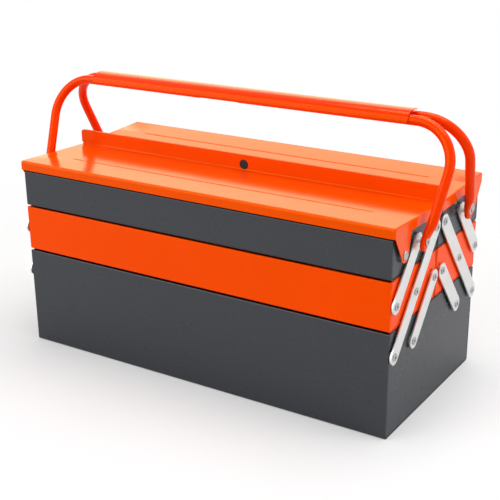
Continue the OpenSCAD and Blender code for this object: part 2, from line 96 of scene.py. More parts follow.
@dataclass(frozen=True)
class BoxSizes:
    """Driving sizes of the tool box in metres, and what follows from them."""

    length: float = 450 * MM
    depth: float = 208 * MM
    base_height: float = 112 * MM
    tray_height: float = 50.5 * MM
    tier_gap: float = 1.5 * MM
    centre_gap: float = 2 * MM
    sheet: float = 0.8 * MM
    fold_radius: float = 2.5 * MM
    hem_depth: float = 6 * MM
    hem_radius: float = 0.8 * MM
    tab_width: float = 9 * MM
    tab_gap: float = 0.4 * MM
    arm_width: float = 16 * MM
    arm_sheet: float = 1.6 * MM
    arm_gap: float = 4 * MM
    pivot_inset: float = 7 * MM
    pivot_drop: float = 25 * MM
    rivet_d: float = 5 * MM
    head_d: float = 8 * MM
    head_height: float = 1.2 * MM
    hollow_d: float = 2.8 * MM
    hole_play: float = 0.05 * MM
    washer_height: float = 1.6 * MM
    end_play: float = 0.15 * MM
    lid_overhang: float = 2 * MM
    lip_depth: float = 10 * MM
    lid_gap: float = 0.4 * MM
    swing_gap: float = 0.5 * MM
    end_clearance: float = 0.35 * MM
    lid_fall: float = 4 * MM
    flange_height: float = 17 * MM
    flange_corner: float = 3 * MM
    flange_gap: float = 1 * MM
    padlock_hole: float = 11 * MM
    swage_inset: float = 40 * MM
    swage_width: float = 3 * MM
    swage_depth: float = 0.9 * MM
    ear_inset: float = 22 * MM
    ear_drop: float = 31 * MM
    ear_radius: float = 7.5 * MM
    ear_width: float = 34 * MM
    dome_d: float = 9 * MM
    tube_d: float = 10 * MM
    bar_rise: float = 76 * MM
    bar_offset: float = 9 * MM
    leg_splay: float = math.radians(6)
    bend_radius: float = 42 * MM
    leg_gap: float = 1.6 * MM
    press_width: float = 12.5 * MM
    grip_sheet: float = 1.1 * MM
    grip_headroom: float = 2.9 * MM
    grip_skirt: float = 3 * MM
    grip_shift: float = 1 * MM
    grip_setback: float = 7 * MM
    grip_seat: float = 0.15 * MM

    @property
    def half_length(self) -> float:
        """Middle of the box to the face of an end panel."""
        return self.length / 2

    @property
    def half_depth(self) -> float:
        """Middle of the box to its front or back wall."""
        return self.depth / 2

    @property
    def tray_inner(self) -> float:
        """Middle of the box to a tray's inner wall."""
        return self.centre_gap / 2

    @property
    def pitch(self) -> float:
        """Height from one tray to the next."""
        return self.tray_height + self.tier_gap

    def floor_z(self, tier: Tier) -> float:
        """Underside of a tier."""
        floor = self.base_height + self.tier_gap + (tier.value - 1) * self.pitch
        return 0.0 if tier is Tier.BASE else floor

    def rim_z(self, tier: Tier) -> float:
        """Rim of a tier's outer wall."""
        return self.base_height + tier.value * self.pitch

    @property
    def arm_step(self) -> float:
        """Distance that an arm leans in, from one pivot to the next."""
        return (self.half_depth - self.pivot_inset - (self.arm_width + self.arm_gap) / 2) / 2

    def pivot(self, step: int, tier: Tier) -> Place:
        """Place of an arm's pivot.

        Args:
            step: How many arm steps it lies in from the outer wall.
            tier: The tier that it is fixed to.

        Returns:
            Its distance from the middle of the box, and its height.
        """
        across = self.half_depth - self.pivot_inset - step * self.arm_step
        return across, self.rim_z(tier) - self.pivot_drop

    @property
    def lid_pivot(self) -> Place:
        """Distance from the middle, and height, of a lid's pivot."""
        return self.half_depth - self.ear_inset, self.rim_z(Tier.UPPER) - self.ear_drop

    @property
    def hole_radius(self) -> float:
        """Radius of a rivet's hole."""
        return self.rivet_d / 2 + self.hole_play

    @property
    def lid_slope(self) -> float:
        """Fall of a lid towards the middle of the box, for each metre across."""
        return self.lid_fall / (self.half_depth - self.tray_inner)

    @property
    def upper_outer_rim(self) -> float:
        """Outer rim of an upper tray.

        Returns:
            Its height, low enough for the lid to swing past.
        """
        across, height = self.lid_pivot
        reach = (self.lid_z(across) - self.sheet / 2 - height) * math.cos(math.atan(self.lid_slope))
        return height + math.sqrt((reach - self.swing_gap) ** 2 - self.ear_inset**2)

    @property
    def arm_face(self) -> float:
        """Inner face of the arms."""
        return self.half_length + self.washer_height + self.end_play

    @property
    def arm_back(self) -> float:
        """Outer face of the arms."""
        return self.arm_face + self.arm_sheet

    @property
    def head_face(self) -> float:
        """Underside of the rivet heads."""
        return self.arm_back + self.end_play

    @property
    def lid_end(self) -> float:
        """Outer face of a lid's folded end."""
        return self.arm_back - self.end_clearance

    def lid_z(self, across: float) -> float:
        """Height of a lid's middle surface at a distance from the middle of the box."""
        top = self.rim_z(Tier.UPPER) + self.lid_gap + self.sheet / 2
        return top - self.lid_slope * (self.half_depth - across)

    @property
    def lid_outer(self) -> float:
        """Distance of the lip's middle surface from the middle of the box."""
        return self.half_depth + self.lid_overhang - self.sheet / 2

    @property
    def lid_inner(self) -> float:
        """Distance of the flange's middle surface from the middle of the box."""
        return (self.flange_gap + self.sheet) / 2

    @property
    def flange_foot(self) -> float:
        """Top of the lid where the flange starts."""
        return self.lid_z(self.lid_inner) + self.sheet / 2

    @property
    def flange_top(self) -> float:
        """Top edge of the flange."""
        return self.flange_foot + self.flange_height

    @property
    def padlock_z(self) -> float:
        """Height of the padlock hole's centre."""
        return self.flange_foot + self.padlock_hole / 2 + self.sheet

    @property
    def leg_x(self) -> float:
        """Distance of a leg's centre line from the middle, at the height of its pivot."""
        return self.head_face + self.head_height + self.leg_gap + self.tube_d / 2

    @property
    def bar_z(self) -> float:
        """Height of the closed handle bars."""
        return self.lid_z(self.lid_outer) + self.sheet / 2 + self.bar_rise

    @property
    def handle_pivot(self) -> Place:
        """Distance from the middle, and height, of the pivot at a leg's pressed end."""
        return self.pivot(1, Tier.UPPER)

    @property
    def handle_lean(self) -> float:
        """Lean of the handle's plane towards the middle of the box."""
        across, height = self.handle_pivot
        return math.atan2(across - self.bar_offset, self.bar_z - height)

    @property
    def bar_height(self) -> float:
        """Bar's distance from the pivots, in the handle's plane."""
        return (self.bar_z - self.handle_pivot[1]) / math.cos(self.handle_lean)

    @property
    def bend_turn(self) -> float:
        """Turn of a handle's bend."""
        return math.pi / 2 + self.leg_splay

    @property
    def bend_tangent(self) -> float:
        """Length that a bend takes from each line that it joins."""
        return self.bend_radius * math.tan(self.bend_turn / 2)

    @property
    def leg_length(self) -> float:
        """Length of a leg up to its bend."""
        return self.bar_height / math.cos(self.leg_splay) - self.bend_tangent

    @property
    def bar_half(self) -> float:
        """Half the straight length of a bar."""
        return self.leg_x + self.bar_height * math.tan(self.leg_splay) - self.bend_tangent


SIZES = BoxSizes()


# ---- Shader maths


class Wire:
    """A node's output, or a number, that Python operators turn into Math nodes."""

    def __init__(self, bench: "NodeBench", source: Any) -> None:
        """Wraps a socket.

        Args:
            bench: The node tree that the socket belongs to.
            source: The output socket.
        """
        self.bench = bench
        self.source = source

    def _maths(self, operation: str, first: Any, second: Any) -> "Wire":
        """One Math node on two values."""
        return self.bench.node("ShaderNodeMath", {"operation": operation}, {0: first, 1: second})

    def __add__(self, other: Any) -> "Wire":
        """self + other."""
        return self._maths("ADD", self, other)

    def __sub__(self, other: Any) -> "Wire":
        """self - other."""
        return self._maths("SUBTRACT", self, other)

    def __mul__(self, other: Any) -> "Wire":
        """self * other."""
        return self._maths("MULTIPLY", self, other)


class NodeBench:
    """Builds one node tree."""

    def __init__(self, tree: bpy.types.NodeTree) -> None:
        """Starts with an empty tree.

        Args:
            tree: The tree of a material or a world.
        """
        self.tree = tree
        self.tree.nodes.clear()

    def node(
        self, kind: str, settings: dict[str, Any], inputs: dict[Any, Any], output: Any = 0
    ) -> Wire:
        """Adds any node.

        Args:
            kind: The node's type.
            settings: Its properties.
            inputs: Values or wires for its sockets, by name or number.
            output: The name or number of the output that is returned.

        Returns:
            The chosen output.
        """
        made = self.tree.nodes.new(kind)
        for key, value in settings.items():
            setattr(made, key, value)
        for key, value in inputs.items():
            if isinstance(value, Wire):
                self.tree.links.new(value.source, made.inputs[key])
            else:
                made.inputs[key].default_value = value
        return Wire(self, None if output is None else made.outputs[output])

    def place(self, turn_x: float = 0.0, stretch: Sequence[float] = (1.0, 1.0, 1.0)) -> Wire:
        """The piece's own coordinates.

        Args:
            turn_x: Angle to turn them about X.
            stretch: Scale on each axis, after the turn.

        Returns:
            A vector in metres.
        """
        own = self.node("ShaderNodeTexCoord", {}, {}, "Object")
        turned = self.node("ShaderNodeMapping", {}, {"Vector": own, "Rotation": (turn_x, 0.0, 0.0)})
        return self.node("ShaderNodeMapping", {}, {"Vector": turned, "Scale": tuple(stretch)})

    def noise(self, where: Wire, scale: float, detail: float = 2.0) -> Wire:
        """Noise of about 0 to 1, with a scale in waves per metre."""
        inputs = {"Vector": where, "Scale": scale, "Detail": detail}
        return self.node("ShaderNodeTexNoise", {}, inputs, 0)

    def mix_colour(self, share: Any, first: Any, second: Any) -> Wire:
        """A colour between two others."""
        inputs = {0: share, 6: first, 7: second}
        return self.node("ShaderNodeMix", {"data_type": "RGBA"}, inputs, 2)


class MaterialBench(NodeBench):
    """Builds one node material."""

    def __init__(self, name: str) -> None:
        """Starts a material.

        Args:
            name: The material's name.
        """
        self.material = bpy.data.materials.new(name)
        self.material.use_nodes = True
        super().__init__(self.material.node_tree)

    def bump(self, height: Wire, distance: float, strength: float = 1.0) -> Wire:
        """Normals bent by a height, which a distance in metres scales."""
        inputs = {"Strength": strength, "Distance": distance, "Height": height}
        return self.node("ShaderNodeBump", {}, inputs)

    def shades(self, share: Wire, colour: Colour, dark: float, light: float) -> Wire:
        """A colour between a dark and a light shade of one."""
        return self.mix_colour(share, rgba(colour, dark), rgba(colour, light))

    def finish(self, shader: Wire) -> Material:
        """Ends the material with this shader."""
        self.node("ShaderNodeOutputMaterial", {}, {"Surface": shader}, None)
        return self.material

    def coat(self, colour: Wire, roughness: Wire, normal: Wire, more: dict[str, Any]) -> Material:
        """Ends the material with a principled surface.

        Args:
            colour: Its base colour.
            roughness: Its roughness.
            normal: Its normals.
            more: Values of other sockets.

        Returns:
            The finished material.
        """
        inputs = {"Base Color": colour, "Roughness": roughness, "Normal": normal, **more}
        return self.finish(self.node("ShaderNodeBsdfPrincipled", {}, inputs))


def rgba(colour: Colour, shade: float = 1.0) -> tuple[float, float, float, float]:
    """A colour with its alpha, darkened or lightened by shade."""
    return (colour[0] * shade, colour[1] * shade, colour[2] * shade, 1.0)


@dataclass(frozen=True)
class Enamel:
    """Stoved enamel on steel: an even coat with orange peel and slight waves in the sheet.

    The scales are in waves per metre, the heights of peel and wave in millimetres.
    """

    name: str
    colour: Colour
    roughness: float
    ior: float = 1.5
    # Tint of the coat's reflections; a warm tint is painted reflection colour standing in for warm
    # surroundings.
    sheen_tint: Colour = (1.0, 1.0, 1.0)
    mottle: float = 0.05
    mottle_scale: float = 11.0
    smear: float = 0.06
    smear_scale: float = 46.0
    peel: float = 0.0004
    peel_scale: float = 620.0
    wave: float = 0.35
    wave_scale: float = 9.0

    def build(self) -> Material:
        """Makes the enamel's material.

        Returns:
            The material.
        """
        bench = MaterialBench(self.name)
        where = bench.place()
        cloud = bench.noise(where, self.mottle_scale, 3.0)
        colour = bench.shades(cloud, self.colour, 1.0 - self.mottle, 1.0 + self.mottle)
        roughness = (bench.noise(where, self.smear_scale, 4.0) - 0.5) * self.smear + self.roughness
        peel = bench.noise(where, self.peel_scale, 1.0) * self.peel
        height = peel + bench.noise(where, self.wave_scale, 1.0) * self.wave
        more = {"IOR": self.ior, "Specular Tint": rgba(self.sheen_tint)}
        return bench.coat(colour, roughness, bench.bump(height, 1 * MM), more)


@dataclass(frozen=True)
class ZincPlate:
    """Zinc-plated steel strip, with the grain of its rolling."""

    name: str
    lean: float = 0.0
    level: float = 0.94
    roughness: float = 0.36
    blue: float = 0.985
    grain_scale: float = 900.0
    grain_stretch: Colour = (1.0, 0.06, 1.0)
    grain_height: float = 0.03 * MM
    grain_smear: float = 0.06
    bloom_scale: float = 70.0
    bloom_smear: float = 0.16

    def build(self) -> Material:
        """Makes the plated strip.

        Returns:
            Its material.
        """
        bench = MaterialBench(self.name)
        grain = bench.noise(bench.place(self.lean, self.grain_stretch), self.grain_scale, 3.0)
        bloom = bench.noise(bench.place(), self.bloom_scale, 4.0)
        warm = (self.level, self.level, self.level * self.blue)
        colour = bench.shades(bloom, warm, 0.93, 1.05)
        smear = bloom * self.bloom_smear + grain * self.grain_smear
        roughness = smear + (self.roughness - (self.bloom_smear + self.grain_smear) / 2)
        bump = bench.bump(grain, self.grain_height, 0.25)
        return bench.coat(colour, roughness, bump, {"Metallic": 1.0})


@dataclass(frozen=True)
class Rubber:
    """Black moulded rubber with a fine, dull grain, for the plug that is painted shade in the
    padlock hole.
    """

    name: str
    shade: float = 0.006
    blue: float = 1.08
    roughness: float = 0.62
    grain_scale: float = 1400.0
    grain_height: float = 0.05 * MM
    bloom_scale: float = 160.0

    def build(self) -> Material:
        """Makes the rubber.

        Returns:
            Its material.
        """
        bench = MaterialBench(self.name)
        where = bench.place()
        grain = bench.noise(where, self.grain_scale)
        black = (self.shade, self.shade, self.shade * self.blue)
        bloom = bench.noise(where, self.bloom_scale, 3.0)
        colour = bench.shades(bloom, black, 0.8, 1.3)
        bump = bench.bump(grain, self.grain_height, 0.3)
        return bench.coat(colour, grain * 0.1 + self.roughness, bump, {})


# ---- Formed metal


def polar(centre: Place, radius: float, start: float, end: float, steps: int) -> Line:
    """Points of an arc.

    Args:
        centre: The arc's centre.
        radius: Its radius.
        start: Angle of its first point, in degrees.
        end: Angle of its last point, in degrees.
        steps: Number of chords.

    Returns:
        The points, first and last included.
    """
    angles = [math.radians(start + (end - start) * i / steps) for i in range(steps + 1)]
    return [(centre[0] + radius * math.cos(a), centre[1] + radius * math.sin(a)) for a in angles]


def circle(centre: Place, radius: float, steps: int = 24) -> Line:
    """Points of a whole circle."""
    return polar(centre, radius, 0.0, 360.0, steps)[:-1]


def paint(piece: Piece, material: Material) -> None:
    """Gives a piece one material."""
    piece.data.materials.clear()
    piece.data.materials.append(material)


def dress(
    piece: Piece, body: str, nodes: Sequence[str], material: Material
) -> None:
    """Gives a finished piece its material, body and nodes.

    Args:
        piece: The piece, in place at rest.
        body: The body that it rides on.
        nodes: The nodes that it stands for.
        material: Its finish.
    """
    paint(piece, material)
    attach(piece, body)
    if nodes:
        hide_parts(*nodes)
    LOG.info("%s rides on %s", piece.name, body)


def add_object(name: str, data: bpy.types.ID) -> Piece:
    """Adds an object to the scene.

    Args:
        name: Its name.
        data: Its mesh, light or camera.

    Returns:
        The object.
    """
    made = bpy.data.objects.new(name, data)
    bpy.context.scene.collection.objects.link(made)
    return made


def add_mesh(name: str, points: Sequence[Vector], faces: Sequence[Sequence[int]]) -> Piece:
    """Adds a mesh and turns its faces to agree with each other.

    Args:
        name: The object's name.
        points: Its points.
        faces: The points' numbers for each face.

    Returns:
        The mesh object.
    """
    mesh = bpy.data.meshes.new(name)
    mesh.from_pydata(points, [], faces)
    mesh.validate()
    work = bmesh.new()
    work.from_mesh(mesh)
    bmesh.ops.recalc_face_normals(work, faces=work.faces)
    work.to_mesh(mesh)
    work.free()
    return add_object(name, mesh)


def shade_smooth(mesh: bpy.types.Mesh, angle: float) -> None:
    """Shades a mesh smooth up to an angle between faces, in degrees."""
    mesh.polygons.foreach_set("use_smooth", [True] * len(mesh.polygons))
    mesh.set_sharp_from_angle(angle=math.radians(angle))


def settle(piece: Piece, smooth: float = 38.0) -> Piece:
    """Applies a piece's modifiers and shades it smooth up to an angle.

    Args:
        piece: A mesh object.
        smooth: Largest angle between faces that still shades smooth, in degrees.

    Returns:
        The same object with its final mesh.
    """
    weigh = piece.modifiers.new("even_shading", "WEIGHTED_NORMAL")
    weigh.keep_sharp = True
    shade_smooth(piece.data, smooth)
    graph = bpy.context.evaluated_depsgraph_get()
    final = bpy.data.meshes.new_from_object(piece.evaluated_get(graph))
    final.name = piece.name
    piece.modifiers.clear()
    old, piece.data = piece.data, final
    bpy.data.meshes.remove(old)
    shade_smooth(final, smooth)
    return piece


class Surface:
    """A sheet's middle surface, built from grids and flat outlines that join where they meet.

    Places are (X, distance, height), with distances on the outward axis of a row.
    """

    MERGE = 1e-7
    CUT_ANGLE = 50

    def __init__(self, side: int = 1) -> None:
        """Starts with no points.

        Args:
            side: Sign of Y on the outward axis.
        """
        self.side = side
        self.points: list[Vector] = []
        self.faces: list[list[int]] = []
        self._found: dict[tuple[int, int, int], int] = {}

    def point(self, place: Sequence[float]) -> int:
        """Adds a point, unless there is one at its place.

        Args:
            place: The point's place.

        Returns:
            The number of the point at that place.
        """
        spot = (place[0], place[1] * self.side, place[2])
        key = tuple(round(c / self.MERGE / 10) for c in spot)
        if key not in self._found:
            self._found[key] = len(self.points)
            self.points.append(Vector(spot))
        return self._found[key]

    def grid(self, rows: Sequence[Sequence[Sequence[float]]]) -> None:
        """Adds quads between rows.

        Args:
            rows: The rows, each with equally many places.
        """
        numbers = [[self.point(p) for p in row] for row in rows]
        for lower, upper in zip(numbers, numbers[1:]):
            for i in range(len(lower) - 1):
                quad = [lower[i], lower[i + 1], upper[i + 1], upper[i]]
                if len(set(quad)) > 2:
                    self.faces.append(list(dict.fromkeys(quad)))

    def flat(
        self, outline: Line, holes: Sequence[Line], x: float | None, distance: float = 0.0
    ) -> None:
        """Adds a flat face with holes.

        Args:
            outline: Its outline, in distances and heights, or in X and heights.
            holes: Outlines of its holes.
            x: Where it lies, or None for a face along X.
            distance: Where a face along X lies.
        """
        loops = [[Vector((u, v, 0.0)) for u, v in loop] for loop in (outline, *holes)]
        flat = [point for loop in loops for point in loop]
        places = [(u, distance, v) if x is None else (x, u, v) for u, v, _ in flat]
        numbers = [self.point(place) for place in places]
        for triangle in tessellate_polygon(loops):
            self.faces.append([numbers[i] for i in triangle])

    def to_piece(self, name: str, thickness: float, edge: float = 0.18 * MM) -> Piece:
        """Thickens the surface and rounds its cut edges.

        Args:
            name: The piece's name.
            thickness: The sheet's thickness, half to each side.
            edge: Radius of the cut edges.

        Returns:
            The finished piece.
        """
        piece = add_mesh(name, self.points, self.faces)
        thick = piece.modifiers.new("thickness", "SOLIDIFY")
        thick.thickness, thick.offset, thick.use_even_offset = thickness, 0.0, True
        bevel = piece.modifiers.new("edges", "BEVEL")
        bevel.width, bevel.segments = edge, 2
        bevel.limit_method, bevel.angle_limit = "ANGLE", math.radians(self.CUT_ANGLE)
        return settle(piece)


class Turned:
    """Round parts turned about lines along X, collected into one piece."""

    STEPS = 28
    ON_AXIS = 1e-9
    SMOOTH = 40.0

    def __init__(self) -> None:
        """Starts with no parts."""
        self.points: list[Vector] = []
        self.faces: list[list[int]] = []

    def add(self, profile: Line, place: Place, hand: Hand) -> None:
        """Turns a closed profile about a line along X.

        Args:
            profile: (X, radius) points, from one end on the axis to the other.
            place: Y and Z of the axis.
            hand: The end of the box; the left end is a mirror image.
        """
        rings: list[list[int]] = []
        for x, radius in profile:
            if radius < self.ON_AXIS:
                rings.append([len(self.points)] * self.STEPS)
                self.points.append(Vector((x * hand.value, place[0], place[1])))
                continue
            ring = []
            for i in range(self.STEPS):
                angle = 2 * math.pi * i / self.STEPS
                ring.append(len(self.points))
                y = place[0] + radius * math.cos(angle)
                self.points.append(Vector((x * hand.value, y, place[1] + radius * math.sin(angle))))
            rings.append(ring)
        for lower, upper in zip(rings, rings[1:]):
            for i in range(self.STEPS):
                j = (i + 1) % self.STEPS
                face = list(dict.fromkeys([lower[i], lower[j], upper[j], upper[i]]))
                if len(face) > 2:
                    self.faces.append(face)

    def to_piece(self, name: str, turn: float = 0.0) -> Piece:
        """Makes one piece of the parts.

        Args:
            name: The piece's name.
            turn: Angle to turn it about Z.

        Returns:
            The finished piece.
        """
        piece = add_mesh(name, self.points, self.faces)
        shade_smooth(piece.data, self.SMOOTH)
        piece.data.transform(Matrix.Rotation(turn, 4, "Z"))
        return piece


# ---- The box's own parts


@dataclass
class Tray:
    """The base or a tray: one folded wrap and two pressed end panels.

    Its lines run on the outward axis, from the middle of the box to the tray's outer wall.
    """

    tier: Tier
    row: Row | None
    sizes: BoxSizes
    material: Material
    slot: str
    bend_steps: int = 6
    columns: int = 12
    corner_bend: float = 1.0 * MM
    tab_play: float = 0.05 * MM
    edge: float = 0.15 * MM

    @property
    def name(self) -> str:
        """Start of the tray's node names."""
        return "base" if self.row is None else f"{self.row.word}_{self.tier.word}"

    @property
    def body(self) -> str:
        """The body that the tray's pieces ride on."""
        return "base" if self.row is None else f"{self.name}_tray"

    @property
    def _side(self) -> int:
        """Sign of Y on the outward axis."""
        return -1 if self.row is None else self.row.value

    @property
    def _walls(self) -> tuple[float, float, float, float]:
        """The tray's walls.

        Returns:
            Outer wall, inner wall, outer rim and inner rim.
        """
        s = self.sizes
        rim = s.rim_z(self.tier)
        if self.tier is Tier.BASE:
            return s.half_depth, -s.half_depth, rim, rim
        if self.tier is Tier.UPPER:
            return s.half_depth, s.tray_inner, s.upper_outer_rim, rim - s.lid_fall
        return s.half_depth, s.tray_inner, rim, rim

    def _wrap_line(self) -> Line:
        """Draws the wrap's middle line.

        Returns:
            Its points, from the outer hem to the inner one.
        """
        s = self.sizes
        outer, inner, rim0, rim1 = self._walls
        half = s.sheet / 2
        fold = s.fold_radius - half
        hem = s.hem_radius
        low = s.floor_z(self.tier) + half + fold
        n = self.bend_steps
        line = [(outer - half - 2 * hem, rim0 - s.hem_depth)]
        line += polar((outer - half - hem, rim0 - half - hem), hem, 180, 0, n)
        line += polar((outer - half - fold, low), fold, 0, -90, n)
        line += polar((inner + half + fold, low), fold, -90, -180, n)
        line += polar((inner + half + hem, rim1 - half - hem), hem, 180, 0, n)
        line += [(inner + half + 2 * hem, rim1 - s.hem_depth)]
        return line

    def build_wrap(self) -> Piece:
        """Builds the wrap: outer wall, floor and inner wall in one folded sheet.

        Returns:
            The wrap.
        """
        surface = Surface(self._side)
        n, reach = self.columns, self.sizes.half_length
        steps = [-reach + 2 * reach * i / n for i in range(n + 1)]
        surface.grid([[(x, a, z) for x in steps] for a, z in self._wrap_line()])
        return surface.to_piece(f"{self.name}_wrap_sheet", self.sizes.sheet)

    def _pivots(self) -> Line:
        """Finds the holes of an end panel.

        Returns:
            Their centres.
        """
        s = self.sizes
        if self.row is None:
            places = [s.pivot(i, Tier.BASE) for i in range(2)]
            return places + [(-a, z) for a, z in places]
        if self.tier is Tier.MIDDLE:
            return [s.pivot(i, Tier.MIDDLE) for i in range(3)]
        return [s.pivot(1, Tier.UPPER), s.pivot(2, Tier.UPPER), s.lid_pivot]

    def build_end(self, hand: Hand) -> Piece:
        """Builds an end panel: a plate with three folded tabs and a hemmed rim.

        Args:
            hand: The end of the box.

        Returns:
            The panel.
        """
        s = self.sizes
        outer, inner, rim0, rim1 = self._walls
        half, bend, n, gap = s.sheet / 2, self.corner_bend, self.bend_steps, self.tab_play
        edge0, edge1 = outer - s.sheet - gap - half, inner + s.sheet + gap + half
        low = s.floor_z(self.tier) + s.sheet + gap + half
        corner = s.fold_radius - s.sheet - gap - half
        tab_top = s.hem_depth + s.tab_gap
        face = s.half_length - half
        # Path of the tabs' middle surface, with the inward normal of each point
        path: Folded = [(edge0, rim0 - tab_top, -1.0, 0.0)]
        for centre_a, start in ((edge0 - corner, 0), (edge1 + corner, -90)):
            for a, z in polar((centre_a, low + corner), corner, start, start - 90, n):
                angle = math.atan2(z - low - corner, a - centre_a)
                path.append((a, z, -math.cos(angle), -math.sin(angle)))
        path.append((edge1, rim1 - tab_top, 1.0, 0.0))
        rows = [[(s.half_length - s.tab_width, a, z) for a, z, _, _ in path]]
        for i in range(n + 1):
            turn = math.pi / 2 * i / n
            x, pull = face - bend * (1 - math.sin(turn)), bend * (1 - math.cos(turn))
            rows.append([(x, a + ax * pull, z + az * pull) for a, z, ax, az in path])
        surface = Surface(self._side)
        surface.grid([[(x * hand.value, a, z) for x, a, z in row] for row in rows])
        roll = s.hem_radius
        notch = s.sheet + 2 * roll + s.tab_gap
        flat = [(a, z) for _, a, z in rows[-1]]
        flat += [(inner + notch, rim1 - tab_top), (inner + notch, rim1 - half - roll)]
        flat += [(outer - notch, rim0 - half - roll), (outer - notch, rim0 - tab_top)]
        holes = [circle(p, s.hole_radius) for p in self._pivots()]
        surface.flat(flat, holes, face * hand.value)
        hem = polar((face - roll, 0.0), roll, 0, 180, n)
        hem.append((face - 2 * roll, roll + half - s.hem_depth))
        hems = ((outer - notch, rim0 - half - roll), (inner + notch, rim1 - half - roll))
        surface.grid([[(x * hand.value, a, low + z) for x, z in hem] for a, low in hems])
        return surface.to_piece(f"{self.name}_{hand.word}_end_sheet", s.sheet, self.edge)

    def build(self) -> None:
        """Builds and dresses the tray."""
        dress(self.build_wrap(), self.body, [f"{self.name}_wrap"], self.material)
        for hand in Hand:
            node = f"{self.name}_{hand.word}_end"
            dress(self.build_end(hand), self.body, [node], self.material)


@dataclass
class Lid:
    """A lid of one sheet: lip, ends with ears, swage line and padlock flange."""

    row: Row
    sizes: BoxSizes
    material: Material
    bend_steps: int = 5
    corner_steps: int = 6
    hole_steps: int = 40
    swage_steps: int = 8
    fade_steps: int = 4
    ear_steps: int = 14
    ear_span: Place = (-170, -10)
    end_bend: float = 1.4 * MM
    swage_end: float = 38 * MM
    swage_fade: float = 8 * MM
    flange_inset: float = 0.2 * MM

    @property
    def _reach(self) -> float:
        """Half length of the lid's flat, up to the bends of its ends."""
        return self.sizes.lid_end - self.sizes.sheet / 2 - self.end_bend

    @property
    def _fold(self) -> float:
        """Radius of the long folds' middle surface."""
        return self.sizes.fold_radius - self.sizes.sheet / 2

    def _lip_line(self) -> Folded:
        """Draws the lip and the outer fold.

        Returns:
            Place and outward normal of each point.
        """
        s = self.sizes
        outer, fold = s.lid_outer, self._fold
        line = [(outer, s.lid_z(outer) + s.sheet / 2 - s.lip_depth, 1.0, 0.0)]
        for a, z in polar((outer - fold, s.lid_z(outer) - fold), fold, 0, 90, self.bend_steps):
            line.append((a, z, (a - outer + fold) / fold, (z - s.lid_z(outer) + fold) / fold))
        return line

    def _top_line(self) -> Line:
        """Draws the lid's flat, from the outer fold to the flange's fold.

        Returns:
            Distances across, and how deep the swage dips there.
        """
        s = self.sizes
        swage = s.half_depth + s.lid_overhang - s.swage_inset
        reach = s.swage_width / 2
        line = []
        for i in range(self.swage_steps + 1):
            share = i / self.swage_steps
            dip = s.swage_depth * (0.5 - 0.5 * math.cos(2 * math.pi * share))
            line.append((swage + reach - 2 * reach * share, dip))
        return [*line, (s.lid_inner + self._fold, 0.0)]

    def _columns(self) -> Line:
        """Places the columns along the lid.

        Returns:
            Their X, and the swage's depth there as a share.
        """
        reach = self._reach
        run = reach - self.swage_end
        right = [(2 * self.sizes.padlock_hole, 1.0)]
        for i in range(self.fade_steps + 1):
            share = i / self.fade_steps
            depth = 0.5 + 0.5 * math.cos(math.pi * share)
            right.append((run - self.swage_fade * (1 - share), depth))
        right.append((reach, 0.0))
        return [(-x, depth) for x, depth in reversed(right)] + right

    def _end_outline(self, lip: Line, top: Line) -> Line:
        """Draws a folded end and its ear.

        Args:
            lip: The end's edge along the lip.
            top: Its edge along the flat.

        Returns:
            The outline, from the corner under the lip.
        """
        s = self.sizes
        inner = top[-1][0]
        drop = s.lip_depth - s.sheet / 2
        ear_inner = s.half_depth + s.lid_overhang - s.fold_radius - s.ear_width
        low = [(inner, s.lid_z(inner) - drop), (ear_inner, s.lid_z(ear_inner) - drop)]
        tip = polar(s.lid_pivot, s.ear_radius, *self.ear_span, self.ear_steps)
        return [*lip, *top, *low, *tip]

    def _add_flange(self, surface: Surface, columns: Line) -> None:
        """Adds the inner fold and the flange.

        Args:
            surface: The lid's surface.
            columns: The columns along the lid.
        """
        s, fold = self.sizes, self._fold
        centre = (s.lid_inner + fold, s.lid_z(s.lid_inner + fold) + fold)
        foot_line = polar(centre, fold, -90, -180, self.bend_steps)
        surface.grid([[(x, a, z) for x, _ in columns] for a, z in foot_line])
        foot, crest, r = foot_line[-1][1], s.flange_top, s.flange_corner
        end, n = s.lid_end - self.flange_inset, self.corner_steps
        outline = [(x, foot) for x, _ in columns] + [(end, foot + self.end_bend)]
        outline += polar((end - r, crest - r), r, 0, 90, n)
        outline += polar((r - end, crest - r), r, 90, 180, n)
        outline.append((-end, foot + self.end_bend))
        hole = circle((0.0, s.padlock_z), s.padlock_hole / 2, self.hole_steps)
        surface.flat(outline, [hole], None, s.lid_inner)

    def _add_end(self, surface: Surface, hand: Hand, lip: Folded, top: Line) -> None:
        """Adds a folded end: lip, fold and flat all turn down round one bend.

        Args:
            surface: The lid's surface.
            hand: The end of the box.
            lip: Points of the lip and the outer fold.
            top: Points of the flat.
        """
        s, bend = self.sizes, self.end_bend
        rim = [*lip, *((a, s.lid_z(a), 0.0, 1.0) for a, _ in top)]
        rows = []
        for i in range(self.bend_steps + 1):
            turn = math.pi / 2 * i / self.bend_steps
            x = (self._reach + bend * math.sin(turn)) * hand.value
            pull = bend * (1 - math.cos(turn))
            rows.append([(x, a - na * pull, z - nz * pull) for a, z, na, nz in rim])
        surface.grid(rows)
        edge = [(a - na * bend, z - nz * bend) for a, z, na, nz in rim]
        outline = self._end_outline(edge[: len(lip)], edge[len(lip) :])
        hole = circle(s.lid_pivot, s.hole_radius)
        surface.flat(outline, [hole], (self._reach + bend) * hand.value)

    def build(self) -> None:
        """Builds and dresses the lid."""
        s = self.sizes
        columns, lip, top = self._columns(), self._lip_line(), self._top_line()
        surface = Surface(self.row.value)
        surface.grid([[(x, a, z) for x, _ in columns] for a, z, _, _ in lip])
        flat = [(lip[-1][0], 0.0), *top]
        surface.grid([[(x, a, s.lid_z(a) - dip * d) for x, d in columns] for a, dip in flat])
        self._add_flange(surface, columns)
        for hand in Hand:
            self._add_end(surface, hand, lip, top)
        name = f"{self.row.word}_lid"
        piece = surface.to_piece(f"{name}_sheet", s.sheet)
        dress(piece, name, [name], self.material)


